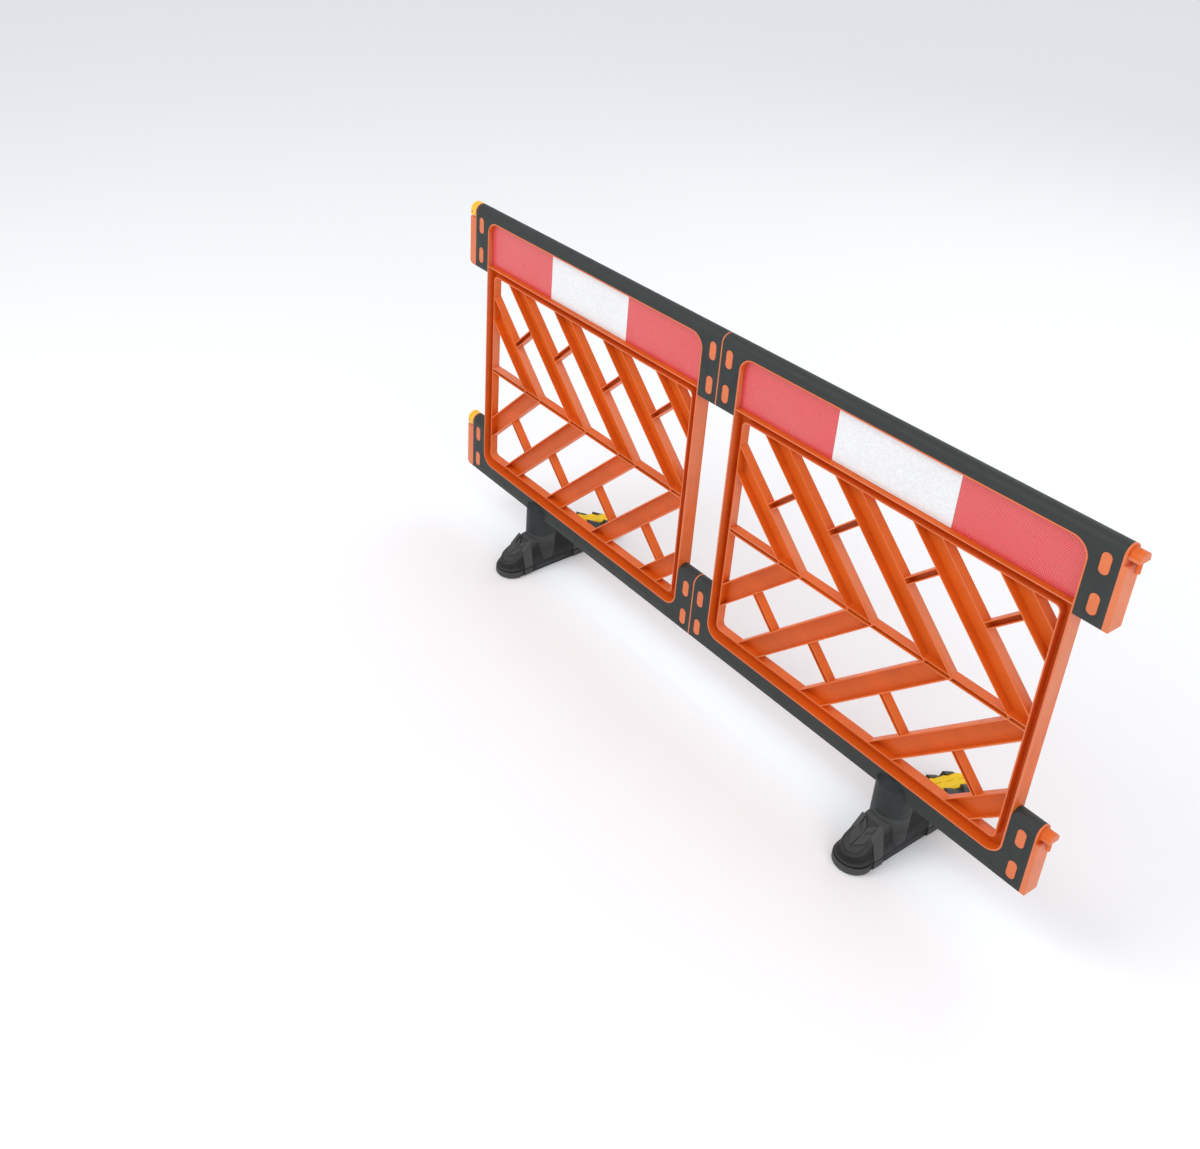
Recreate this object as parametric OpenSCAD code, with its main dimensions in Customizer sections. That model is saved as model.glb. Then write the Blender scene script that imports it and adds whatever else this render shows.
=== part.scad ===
// Linking pedestrian safety barrier: a two window panel of orange mouldings under dark rail
// caps, red and white reflective strips, two swivelling feet with tread pads, and lift-up
// link latches at one end.
// +X runs along the panel to its latch end, -Y is the front that the long foot arms point to,
// +Z is up. The origin is on the ground, at the centre of the whole outline.

/* [Panel] */
// Length of one window bay, from the centre seam to the end face of its caps
bay_length = 980; // [900:1:1300]
// Height of the panel, from the underside of the bottom rail to the top of the top rail
panel_height = 851; // [800:1:1100]
// Thickness of the panel over the caps
panel_thickness = 41; // [36:1:50]
// Height of the bottom rail above the ground
ground_gap = 166; // [150:1:200]

/* [Caps] */
// Width of the cap plate beside the centre seam
seam_plate = 60; // [50:1:75]
// Width of the cap plate at each end of the panel
end_plate = 58; // [50:1:75]
// Depth of the top rail above the windows
top_rail = 27; // [22:1:45]
// Depth of the bottom rail below the windows
bottom_rail = 42; // [36:1:60]
// Length that the upper corner plates hang down from the top of the rail
upper_plate = 181; // [160:1:220]
// Height of the lower corner plates
lower_plate = 178; // [160:1:220]
// Wall of the rail caps
cap_wall = 4; // [3:0.5:5]
// Width of the slots in the corner plates
slot_width = 20; // [14:1:26]
// Length of the slots in the corner plates
slot_length = 46; // [36:1:56]

/* [Windows] */
// Corner radius of the window rims
rim_radius = 38; // [25:1:45]
// Wall of the window rims
rim_wall = 3.5; // [3:0.5:5]
// Height of the reflective strip recess above its shelf
strip_height = 134; // [110:1:170]
// Depth of the strip recess on each face
strip_recess = 14.5; // [10:0.5:16]
// Thickness of the reflective sheets
sheet_thickness = 1.2; // [0.8:0.1:2]
// Width of the white sheet of each strip
white_width = 306; // [200:1:400]

/* [Lattice] */
// Distance from the front face back to the lattice
front_recess = 10; // [6:0.5:12]
// Distance from the back face in to the lattice
back_recess = 8; // [5:0.5:10]
// Wall of the lattice plates and flanges
web = 3; // [2.5:0.5:4]
// Width of the frame round the lattice opening at its sides
side_frame = 26; // [22:1:34]
// Width of the frame below the lattice opening
foot_frame = 32; // [26:1:40]
// Depth of the bar between the lattice opening and the strip shelf
head_frame = 24; // [20:1:34]
// Spacing of the slats along the panel
slat_pitch = 204.5; // [185:0.5:230]
// Width of each upper slat, measured along the panel
slat_width = 74; // [60:1:95]
// Width of each lower slat, measured along the panel
lower_slat_width = 70; // [56:1:90]
// Height of the middle rib
mid_rib = 14; // [12:1:20]

/* [Feet] */
// Distance of the foot pivots from the centre seam
foot_offset = 652; // [500:1:700]
// Width of the feet
foot_width = 90; // [88:1:110]
// Reach of the long arm in front of the panel's middle plane
arm_reach = 302; // [260:1:380]
// Reach of the short stub behind the panel's middle plane
stub_reach = 149; // [125:1:180]
// Radius of the foot's neck and of the rail socket above it
neck_radius = 44; // [40:1:44]
// Radius of the pivot bolt
pivot_radius = 8; // [6:0.5:10]
// Radial running clearance between a pin and its bore
running_fit = 0.05; // [0.03:0.01:0.1]
// Gap left between pieces that don't touch
seat_gap = 0.3; // [0.2:0.05:0.5]

/* [Links] */
// Gap between the cap ends of two panels that are linked in line
link_gap = 40; // [36:1:48]
// Length of the link tab at the latch end
tab_length = 27.5; // [25:0.5:30]
// Radius of the pins that drop into a linked panel's tabs
link_pin_radius = 5; // [4:0.5:6]
// Radial clearance of a link pin in its bore
link_fit = 0.2; // [0.1:0.05:0.4]
// Height that a latch lifts
latch_lift = 14; // [13:0.5:15]
// Radius of the cross pins that keep the latches on
latch_pin_radius = 2; // [1.5:0.25:2.25]

/* [Hidden] */
$fn = 96;

// Overall layout
panel_y = (arm_reach - stub_reach) / 2;
half_t = panel_thickness / 2;
top_z = ground_gap + panel_height;
window_width = bay_length - seam_plate - end_plate;
window_height = panel_height - top_rail - bottom_rail;
window_x = [-bay_length + end_plate, seam_plate];
window_z = ground_gap + bottom_rail;
shelf_z = window_height - strip_height;
seam_fin = 1.7;
end_fin = 4;
big = 3000;

// Caps and the orange core inside them
core_wall = cap_wall + seat_gap;
slot_inset = 26.5;
slot_rise = [38.5, 126];
slot_drop = [52.5, 140.5];
boss_gap = 0.4;

// Lattice, in the window's own frame with its lower left rim corner at [0, 0]
lattice_y = [-half_t + front_recess, half_t - back_recess];
open_x = [side_frame, window_width - side_frame];
open_z = [foot_frame, shelf_z - web - head_frame];
open_radius = 12;
mid_z = (open_z[0] + open_z[1]) / 2;
slat_start = 28;
slat_count = 5 + floor((bay_length - 980) / slat_pitch);
slat_steps = [-1 : slat_count - 2];
rib_steps = [0 : slat_count - 2];
upper_gap = (slat_pitch - slat_width) / sqrt(2);
lower_gap = (slat_pitch - lower_slat_width) / sqrt(2);
cross_width = 16;
strut_width = 11;
rib_wall = 2.5;
rib_stand = 3;
rib_lap = 14;
cross_heights = [0.835, 0.813, 0.815, 0.765];
strut_heights = [0.167, 0.187, 0.182, 0.227];

// Strips
strip_seat = half_t - strip_recess;
sheet_margin = 0.5;

// Feet
neck_top = ground_gap - 54;
socket_cheek = 22;
socket_top_radius = half_t + 4;
arm_tip_height = 34;
arm_shoulder = 117;
arm_flat_end = 84;
stub_tip_height = 40;
stub_shoulder = 98;
pad_slope = [[-arm_reach + 18, 42], [-arm_flat_end - 4, arm_shoulder - 4]];
pad_angle = atan2(pad_slope[1][1] - pad_slope[0][1], pad_slope[1][0] - pad_slope[0][0]);
pad_length = (pad_slope[1][0] - pad_slope[0][0]) / cos(pad_angle);
pad_width = 42;
pad_depth = 7;
bolt_seat = 45;
washer_thickness = 3;
washer_radius = pivot_radius * 1.8;
head_height = 8;
head_radius = pivot_radius * 1.6;
bolt_reach = ground_gap + bottom_rail - 8;
lock_width = 14;
lock_height = 38;
lock_low = neck_top + 7;
lock_proud = 5;
lock_depth = 10;
lock_travel = 4;

// Links, with heights measured down from the round top that each link is under
link_tops = [top_z, ground_gap + lower_plate];
link_feet = [top_z - upper_plate, ground_gap];
tab_end = bay_length + tab_length;
tab_drop = 39;
tab_chamfer = 8;
block_end = bay_length + link_gap - tab_length;
link_x = bay_length + link_gap / 2;
arm_drop = 26;
link_pin_drop = tab_drop + latch_lift - 1;
latch_wall = 4;
lug_radius = half_t - latch_wall - 1.5;
lug_end = block_end - 0.5;
latch_start = bay_length + end_fin + 0.5;
latch_end = tab_end - 0.5;
latch_drop = 34;
latch_pin_x = bay_length + 8;
latch_pin_drop = 29;
finger_hole_radius = 4;

// ---- helpers ------------------------------------------------------------------------------

// Moves a shape drawn about the seam and the panel's middle plane to its place
module place() {
    translate([0, panel_y, 0]) children();
}

// Extrudes an outline drawn in X and Z from depth y0 to depth y1
module slab(y0, y1) {
    translate([0, y1, 0]) rotate([90, 0, 0]) linear_extrude(height = y1 - y0) children();
}

// Extrudes an outline drawn in Y and Z from x0 to x1
module bar(x0, x1) {
    translate([x0, 0, 0]) rotate([90, 0, 90]) linear_extrude(height = x1 - x0) children();
}

module rounded_box(x0, z0, x1, z1, r) {
    translate([x0 + r, z0]) square([x1 - x0 - 2 * r, z1 - z0]);
    translate([x0, z0 + r]) square([x1 - x0, z1 - z0 - 2 * r]);
    for (x = [x0 + r, x1 - r], z = [z0 + r, z1 - r]) translate([x, z]) circle(r);
}

module stadium(width, length) {
    square([width, length - width], center = true);
    for (s = [-1, 1]) translate([0, s * (length - width) / 2]) circle(width / 2);
}

// Section of the panel with a half round top, inset all round by a wall
module rail_section(low, high, inset = 0) {
    r = half_t - inset;
    translate([-r, low + inset]) square([2 * r, high - half_t - low - inset]);
    translate([0, high - half_t]) circle(r);
}

// Mirrors a shape drawn for the right bay onto the left one
module bay(side) {
    if (side > 0) children();
    else mirror([1, 0, 0]) children();
}

// Outline of a window's rim, grown by a margin
module window_hole(extra) {
    rounded_box(seam_plate - extra, window_z - extra, bay_length - end_plate + extra,
        window_z + window_height + extra, rim_radius + extra);
}

module slots(tops, grow) {
    for (x = [slot_inset, bay_length - slot_inset], z = tops) {
        translate([x, z]) stadium(slot_width + 2 * grow, slot_length + 2 * grow);
    }
}

function upper_slot_z() = [for (d = slot_drop) top_z - d];
function lower_slot_z() = [for (d = slot_rise) ground_gap + d];

// ---- rail caps ----------------------------------------------------------------------------

module cap_region(top) {
    difference() {
        translate([seam_fin, top ? top_z - upper_plate : ground_gap])
            square([bay_length - seam_fin, top ? upper_plate : lower_plate]);
        window_hole(seat_gap);
    }
}

module cap_body(top, inset) {
    low = top ? top_z - upper_plate - (inset > 0 ? inset + 1 : 0) : ground_gap;
    high = top ? top_z : ground_gap + lower_plate;
    bar(-1, bay_length + 1) rail_section(low, high, inset);
}

// Hollow cap over one rail of one bay, open where the core's bosses show
module rail_cap(top, side) {
    color([0.26, 0.29, 0.3]) place() bay(side) difference() {
        intersection() {
            slab(-half_t, half_t) cap_region(top);
            cap_body(top, 0);
        }
        intersection() {
            bar(seam_fin - 1, bay_length + 1) {
                translate([-half_t + cap_wall, top ? 0 : ground_gap + cap_wall])
                    square([panel_thickness - 2 * cap_wall, top ? top_z - half_t
                        : lower_plate - half_t - cap_wall]);
                translate([0, (top ? top_z : ground_gap + lower_plate) - half_t])
                    circle(half_t - cap_wall);
            }
            slab(-half_t, half_t) translate([seam_fin - 1, 0]) square([bay_length, big]);
        }
        slab(-half_t - 1, half_t + 1) slots(top ? upper_slot_z() : lower_slot_z(), boss_gap);
        if (!top) translate([foot_offset, 0, ground_gap - 1])
            cylinder(r = pivot_radius + 0.5, h = bottom_rail);
    }
}

// ---- orange window mouldings --------------------------------------------------------------

// Leaning strip across the window through one point of the middle rib
module leaning_band(step, lean, width) {
    middle = slat_start + step * slat_pitch;
    foot = middle - lean * mid_z;
    head = foot + lean * big;
    polygon([[foot - width / 2, 0], [foot + width / 2, 0], [head + width / 2, big],
        [head - width / 2, big]]);
}

module upper_band(step) {
    leaning_band(step, 1, slat_width);
}

module lower_band(step) {
    leaning_band(step, -1, lower_slat_width);
}

// The two edges of a leaning strip
module band_edges(step, lean, width) {
    difference() {
        leaning_band(step, lean, width);
        leaning_band(step, lean, width - 2 * web * sqrt(2));
    }
}

module opening() {
    rounded_box(open_x[0], open_z[0], open_x[1], open_z[1], open_radius);
}

module above_mid() {
    translate([0, mid_z]) square([window_width, big]);
}

module below_mid() {
    square([window_width, mid_z]);
}

// Height in the window of a short rib, as a share of the lattice opening
function rib_height(heights, i) = open_z[0] + heights[min(i, 3)] * (open_z[1] - open_z[0]);

// Places a rib's outline, drawn across the gap along X, between two upper slats
module at_cross_rib(i) {
    z = rib_height(cross_heights, i);
    translate([slat_start + (i - 0.5) * slat_pitch + z - mid_z, z]) rotate(-45) children();
}

// Places a strut's outline, drawn across the gap along X, between two lower slats
module at_strut(i) {
    z = rib_height(strut_heights, i);
    translate([slat_start + (i - 0.5) * slat_pitch + mid_z - z, z]) rotate(45) children();
}

// Rib between two slats, less its middle if it is a channel
module rib(gap, width, channel) {
    difference() {
        square([gap + 2, width], center = true);
        if (channel) square([gap + 4, width - 2 * rib_wall], center = true);
    }
}

// Round ended bar that stands out of the front and laps over the next slat
module proud_rib() {
    half = upper_gap / 2;
    translate([-half - 1, -cross_width / 2]) square([2 * half + 1 + rib_lap, cross_width]);
    translate([half + rib_lap, 0]) circle(cross_width / 2);
}

// Everything that shows flush on the lattice's front plane
module lattice_face() {
    intersection() {
        opening();
        union() {
            intersection() {
                above_mid();
                union() {
                    for (i = slat_steps) upper_band(i);
                    for (i = rib_steps) at_cross_rib(i) rib(upper_gap, cross_width, false);
                }
            }
            intersection() {
                below_mid();
                union() {
                    for (i = slat_steps) lower_band(i);
                    for (i = rib_steps) at_strut(i) rib(lower_gap, strut_width, false);
                }
            }
            translate([0, mid_z - mid_rib / 2]) square([window_width, mid_rib]);
        }
    }
}

// Flanges that run back from the front plane
module lattice_flanges() {
    intersection() {
        opening();
        union() {
            intersection() {
                above_mid();
                union() {
                    for (i = slat_steps) band_edges(i, 1, slat_width);
                    for (i = rib_steps) at_cross_rib(i) rib(upper_gap, cross_width, true);
                }
            }
            intersection() {
                below_mid();
                union() {
                    for (i = slat_steps) band_edges(i, -1, lower_slat_width);
                    for (i = rib_steps) at_strut(i) rib(lower_gap, strut_width, true);
                }
            }
            for (s = [-1, 1]) translate([0, mid_z + s * (mid_rib - web) / 2 - web / 2])
                square([window_width, web]);
        }
    }
}

module window_moulding() {
    rim = [rim_wall, rim_wall, window_width - rim_wall, window_height - rim_wall];
    slab(-half_t, half_t) difference() {
        rounded_box(0, 0, window_width, window_height, rim_radius);
        rounded_box(rim[0], rim[1], rim[2], rim[3], rim_radius - rim_wall);
    }
    slab(lattice_y[0], lattice_y[0] + web) {
        difference() {
            intersection() {
                rounded_box(1, 1, window_width - 1, window_height - 1, rim_radius - 1);
                square([window_width, shelf_z - 1]);
            }
            opening();
        }
        lattice_face();
    }
    slab(lattice_y[0] + 1, lattice_y[1]) {
        difference() {
            rounded_box(open_x[0] - web, open_z[0] - web, open_x[1] + web, open_z[1] + web,
                open_radius + web);
            opening();
        }
        lattice_flanges();
    }
    slab(lattice_y[0] - rib_stand, lattice_y[0] + 1) intersection() {
        opening();
        union() for (i = rib_steps) at_cross_rib(i) proud_rib();
    }
    slab(-half_t, half_t) translate([rim_wall / 2, shelf_z - web])
        square([window_width - rim_wall, web]);
    slab(-strip_seat, strip_seat) intersection() {
        rounded_box(1, 1, window_width - 1, window_height - 1, rim_radius - 1);
        translate([0, shelf_z - 1]) square([window_width, big]);
    }
}

// Core that fills the caps of one bay, with the bosses that show in their slots
module cap_core(top) {
    low = top ? top_z - upper_plate : ground_gap + core_wall;
    high = top ? top_z : ground_gap + lower_plate;
    difference() {
        union() {
            intersection() {
                bar(0, bay_length) {
                    translate([-half_t + core_wall, low]) square([panel_thickness - 2 * core_wall,
                        high - half_t - low]);
                    translate([0, high - half_t]) circle(half_t - core_wall);
                }
                slab(-half_t, half_t) difference() {
                    translate([0, low]) square([bay_length, high - low]);
                    window_hole(-1);
                }
            }
            slab(-half_t, half_t) slots(top ? upper_slot_z() : lower_slot_z(), 0);
            bar(0, seam_fin) rail_section(top ? low : ground_gap, high);
        }
        if (!top) translate([foot_offset, 0, 0])
            cylinder(r = pivot_radius + running_fit, h = bolt_reach + 1);
    }
}

// Tongue with a half round top and a flat underside, which is a drop below the rail's top
module tongue(x0, x1, high, drop) {
    bar(x0, x1) intersection() {
        translate([-lug_radius, high - drop]) square([2 * lug_radius, drop]);
        union() {
            translate([-lug_radius, high - drop]) square([2 * lug_radius, drop - half_t]);
            translate([0, high - half_t]) circle(lug_radius);
        }
    }
}

// Plate that closes the end of a cap
module end_plate_cover(i) {
    bar(bay_length, bay_length + end_fin) rail_section(link_feet[i], link_tops[i]);
}

// Tab of the latch end: a bore for the neighbour's pin, and the lug that the latch rides on
module latch_tab(i) {
    high = link_tops[i];
    low = link_feet[i];
    slot = latch_pin_radius + running_fit;
    difference() {
        union() {
            slab(-half_t, half_t) polygon([[bay_length + 1, low], [tab_end - tab_chamfer, low],
                [tab_end, low + tab_chamfer], [tab_end, high - tab_drop], [bay_length + 1, high - tab_drop]]);
            tongue(bay_length + 1, lug_end, high, tab_drop + 2);
        }
        translate([link_x, 0, high - link_pin_drop - 4])
            cylinder(r = link_pin_radius + link_fit, h = link_pin_drop);
        for (lift = [0, latch_lift]) translate([latch_pin_x, half_t, high - latch_pin_drop + lift])
            rotate([90, 0, 0]) cylinder(r = slot, h = panel_thickness);
        translate([latch_pin_x - slot, -half_t, high - latch_pin_drop])
            cube([2 * slot, panel_thickness, latch_lift]);
    }
}

// Tab of the plain end, with the arm and pin that hook into a neighbour's latch end
module hook_tab(i) {
    high = link_tops[i];
    low = link_feet[i];
    slab(-half_t, half_t) translate([bay_length + 1, low])
        square([block_end - bay_length - 1, high - tab_drop - low]);
    tongue(bay_length + 1, tab_end, high, arm_drop);
    translate([link_x, 0, high - link_pin_drop])
        cylinder(r = link_pin_radius, h = link_pin_drop - arm_drop + 2);
}

// End fitting of one rail: a latch tab on the right, a hook on the left
module link_fitting(side, i) {
    color([0.9, 0.37, 0.16]) place() bay(side) {
        end_plate_cover(i);
        if (side > 0) latch_tab(i);
        else hook_tab(i);
    }
}

module window_part(side) {
    color([0.9, 0.37, 0.16]) place() {
        translate([side > 0 ? window_x[1] : window_x[0], 0, window_z]) window_moulding();
        bay(side) {
            cap_core(true);
            cap_core(false);
        }
    }
}

// ---- reflective strips --------------------------------------------------------------------

// Sheets of one strip: the white one in the middle, or the red pair beside it
module strip(side, face, white) {
    x0 = side > 0 ? window_x[1] : window_x[0];
    mid = window_width / 2;
    inner = rim_wall + sheet_margin;
    y = strip_seat + seat_gap / 2;
    color(white ? [0.93, 0.94, 0.94] : [0.8, 0.1, 0.13]) place()
        translate([x0, 0, window_z])
            slab(face > 0 ? y : -y - sheet_thickness, face > 0 ? y + sheet_thickness : -y)
                intersection() {
                    rounded_box(inner, inner, window_width - inner, window_height - inner,
                        rim_radius - inner);
                    translate([0, shelf_z + sheet_margin]) {
                        if (white) translate([mid - white_width / 2, 0]) square([white_width, big]);
                        else {
                            square([mid - white_width / 2 - sheet_margin, big]);
                            translate([mid + white_width / 2 + sheet_margin, 0])
                                square([window_width, big]);
                        }
                    }
                }
}

// ---- feet ---------------------------------------------------------------------------------

module foot_at(side) {
    place() translate([side * foot_offset, 0, 0]) children();
}

// Plan of the foot, a long shape with round ends; the front end is at -Y
module foot_plan(inset = 0) {
    r = foot_width / 2 - inset;
    translate([-r, -arm_reach + foot_width / 2]) square([2 * r, arm_reach + stub_reach - foot_width]);
    translate([0, -arm_reach + foot_width / 2]) circle(r);
    translate([0, stub_reach - foot_width / 2]) circle(r);
}

// Side view of the foot in Y and Z
module foot_side() {
    polygon([[-arm_reach, 0], [-arm_reach, arm_tip_height], pad_slope[0], pad_slope[1],
        [-arm_flat_end, arm_shoulder], [-20, arm_shoulder], [20, stub_shoulder],
        [neck_radius, stub_shoulder], [stub_reach - 8, stub_tip_height + 3],
        [stub_reach, stub_tip_height - 5], [stub_reach, 0]]);
}

module foot_body(side) {
    color([0.23, 0.23, 0.23]) foot_at(side) difference() {
        union() {
            intersection() {
                linear_extrude(height = arm_shoulder + 10) foot_plan(6);
                bar(-foot_width / 2, foot_width / 2) foot_side();
            }
            linear_extrude(height = 16) foot_plan();
            linear_extrude(height = 30) foot_plan(3);
            cylinder(r = neck_radius, h = neck_top - seat_gap);
        }
        translate([0, 0, neck_top - seat_gap]) cylinder(r = neck_radius + 0.5, h = ground_gap);
        pad_frame(seat_gap) stadium(pad_width + 2 * seat_gap, pad_length + 2 * seat_gap);
        translate([0, 0, -1]) cylinder(r = washer_radius + 2, h = bolt_seat + 1);
        cylinder(r = pivot_radius + running_fit, h = ground_gap);
    }
}

// Puts an outline on the sloping top of the arm, sunk by the pad's depth and a seat
module pad_frame(seat) {
    mid = (pad_slope[0] + pad_slope[1]) / 2;
    translate([0, mid[0], mid[1]]) rotate([pad_angle, 0, 0])
        translate([0, 0, -pad_depth - seat]) linear_extrude(height = seat > 0 ? 60 : pad_depth + 2)
            children();
}

module tread_pad(side) {
    color([0.98, 0.83, 0.1]) foot_at(side) pad_frame(0) stadium(pad_width, pad_length);
}

// Yoke that clasps the bottom rail above the foot's neck
module socket(side) {
    color([0.2, 0.22, 0.23]) foot_at(side) difference() {
        union() {
            translate([0, 0, neck_top]) cylinder(r = neck_radius, h = ground_gap + socket_cheek - neck_top);
            translate([0, 0, ground_gap + socket_cheek])
                cylinder(r1 = neck_radius, r2 = socket_top_radius, h = bottom_rail - socket_cheek - 4);
        }
        translate([-neck_radius - 1, -half_t - seat_gap, ground_gap - seat_gap])
            cube([2 * neck_radius + 2, panel_thickness + 2 * seat_gap, big]);
        cylinder(r = pivot_radius + 0.2, h = big);
        translate([neck_radius - lock_depth - lock_travel, -lock_width / 2 - seat_gap, lock_low - seat_gap])
            cube([big, lock_width + 2 * seat_gap, lock_height + 2 * seat_gap]);
    }
}

// Push lock that holds the foot at its stops
module foot_lock(side) {
    color([0.1, 0.1, 0.11]) foot_at(side) intersection() {
        translate([neck_radius - lock_depth, -lock_width / 2, lock_low])
            cube([big, lock_width, lock_height]);
        translate([0, 0, lock_low]) cylinder(r = neck_radius + lock_proud, h = lock_height);
    }
}

module pivot_bolt(side) {
    color([0.7, 0.71, 0.73]) foot_at(side) {
        translate([0, 0, bolt_seat - washer_thickness - head_height - seat_gap])
            cylinder(r = head_radius, h = head_height, $fn = 6);
        translate([0, 0, bolt_seat - washer_thickness - seat_gap - 1])
            cylinder(r = pivot_radius, h = bolt_reach - bolt_seat + washer_thickness + seat_gap + 1);
    }
}

module pivot_washer(side) {
    color([0.75, 0.76, 0.78]) foot_at(side) translate([0, 0, bolt_seat - washer_thickness - seat_gap])
        difference() {
            cylinder(r = washer_radius, h = washer_thickness);
            translate([0, 0, -1]) cylinder(r = pivot_radius + 0.3, h = washer_thickness + 2);
        }
}

// ---- link latches -------------------------------------------------------------------------

module latch(i) {
    high = link_tops[i];
    centre = high - half_t;
    inner = half_t - latch_wall;
    middle = (latch_start + latch_end) / 2;
    color([0.98, 0.78, 0.15]) place() difference() {
        bar(latch_start, latch_end) {
            translate([0, centre]) circle(half_t);
            translate([-half_t, high - latch_drop]) square([panel_thickness, latch_drop - half_t]);
        }
        bar(latch_start - 1, latch_end + 1) {
            translate([0, centre]) circle(inner);
            translate([-inner, centre - big]) square([2 * inner, big]);
        }
        bar(middle - 1.5, middle + 1.5) difference() {
            translate([0, centre]) circle(half_t + 1);
            translate([0, centre]) circle(half_t - 1.5);
            translate([-half_t - 2, centre - half_t]) square([panel_thickness + 4, half_t + 6]);
        }
        translate([latch_pin_x, half_t + 1, high - latch_pin_drop]) rotate([90, 0, 0])
            cylinder(r = latch_pin_radius, h = panel_thickness + 2);
        translate([link_x, half_t + 1, centre - 4]) rotate([90, 0, 0])
            cylinder(r = finger_hole_radius, h = panel_thickness + 2);
    }
}

module latch_pin(i) {
    color([0.55, 0.56, 0.58]) place()
        translate([latch_pin_x, half_t - 0.8, link_tops[i] - latch_pin_drop]) rotate([90, 0, 0])
            cylinder(r = latch_pin_radius, h = panel_thickness - 1.6);
}

// ---- nodes --------------------------------------------------------------------------------

window_part(-1);  // window_left
window_part(1);  // window_right
rail_cap(true, -1);  // top_cap_left
rail_cap(true, 1);  // top_cap_right
rail_cap(false, -1);  // bottom_cap_left
rail_cap(false, 1);  // bottom_cap_right
link_fitting(1, 0);  // latch_end_upper
link_fitting(1, 1);  // latch_end_lower
link_fitting(-1, 0);  // hook_end_upper
link_fitting(-1, 1);  // hook_end_lower
strip(-1, -1, false);  // strip_front_left_red
strip(-1, -1, true);  // strip_front_left_white
strip(1, -1, false);  // strip_front_right_red
strip(1, -1, true);  // strip_front_right_white
strip(-1, 1, false);  // strip_back_left_red
strip(-1, 1, true);  // strip_back_left_white
strip(1, 1, false);  // strip_back_right_red
strip(1, 1, true);  // strip_back_right_white
socket(-1);  // socket_left
socket(1);  // socket_right
foot_body(-1);  // foot_left
foot_body(1);  // foot_right
tread_pad(-1);  // tread_pad_left
tread_pad(1);  // tread_pad_right
foot_lock(-1);  // foot_lock_left
foot_lock(1);  // foot_lock_right
pivot_bolt(-1);  // pivot_bolt_left
pivot_bolt(1);  // pivot_bolt_right
pivot_washer(-1);  // pivot_washer_left
pivot_washer(1);  // pivot_washer_right
latch(0);  // latch_upper
latch(1);  // latch_lower
latch_pin(0);  // latch_pin_upper
latch_pin(1);  // latch_pin_lower
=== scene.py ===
"""Looks of a linking pedestrian safety barrier: windows, rail caps, strips, feet and latches."""
import math

import bmesh
import bpy
from bpy.props import FloatProperty, FloatVectorProperty, IntProperty, PointerProperty
from mathutils import Matrix, Vector


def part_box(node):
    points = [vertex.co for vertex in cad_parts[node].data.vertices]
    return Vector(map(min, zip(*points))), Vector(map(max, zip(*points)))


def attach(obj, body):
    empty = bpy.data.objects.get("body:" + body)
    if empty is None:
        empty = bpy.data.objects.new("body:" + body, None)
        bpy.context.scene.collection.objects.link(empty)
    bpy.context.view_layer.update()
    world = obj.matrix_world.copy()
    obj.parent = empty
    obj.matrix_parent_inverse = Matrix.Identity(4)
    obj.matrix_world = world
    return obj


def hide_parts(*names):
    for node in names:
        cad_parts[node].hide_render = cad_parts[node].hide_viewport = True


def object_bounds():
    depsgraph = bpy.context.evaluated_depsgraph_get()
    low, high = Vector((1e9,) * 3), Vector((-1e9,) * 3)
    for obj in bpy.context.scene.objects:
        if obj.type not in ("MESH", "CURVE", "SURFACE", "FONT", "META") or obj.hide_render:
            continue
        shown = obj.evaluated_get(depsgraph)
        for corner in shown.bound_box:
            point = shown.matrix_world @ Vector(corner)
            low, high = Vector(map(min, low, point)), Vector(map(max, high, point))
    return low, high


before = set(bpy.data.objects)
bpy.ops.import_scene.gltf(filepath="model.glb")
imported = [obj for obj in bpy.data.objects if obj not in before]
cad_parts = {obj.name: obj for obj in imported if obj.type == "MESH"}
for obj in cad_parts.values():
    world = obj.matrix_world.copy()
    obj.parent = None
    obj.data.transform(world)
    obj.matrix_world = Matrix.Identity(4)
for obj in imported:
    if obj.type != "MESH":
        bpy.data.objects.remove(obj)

bl_info = {
    "name": "Pedestrian Barrier Looks",
    "version": (1, 0, 0),
    "blender": (4, 5, 0),
    "location": "View3D > Sidebar > Barrier",
    "description": "Finishes a linking pedestrian barrier with moulded edges, treads and materials",
    "category": "Object",
}

SIDES = ("left", "right")
LEVELS = ("upper", "lower")
CAD_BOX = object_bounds()
WELD_DISTANCE = 1e-6
FLAT_ANGLE = math.radians(0.4)


# ---- sizes and colours ------------------------------------------------------------------

def length(name, description, default):
    """A length property, in metres."""
    return FloatProperty(name=name, description=description, default=default, min=0.0, max=1.0,
                         unit="LENGTH", precision=4)


def angle(name, description, degrees):
    """An angle property, given in degrees."""
    return FloatProperty(name=name, description=description, default=math.radians(degrees),
                         subtype="ANGLE")


def colour(name, description, default):
    """A colour property, given as 8-bit display values."""
    linear = [display_to_linear(value / 255) for value in default]
    return FloatVectorProperty(name=name, description=description, subtype="COLOR", size=3,
                               min=0.0, max=1.0, default=linear)


def display_to_linear(value):
    """Turns one display value from 0 to 1 into a linear one, by the sRGB curve."""
    return value / 12.92 if value <= 0.04045 else ((value + 0.055) / 1.055) ** 2.4


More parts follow.
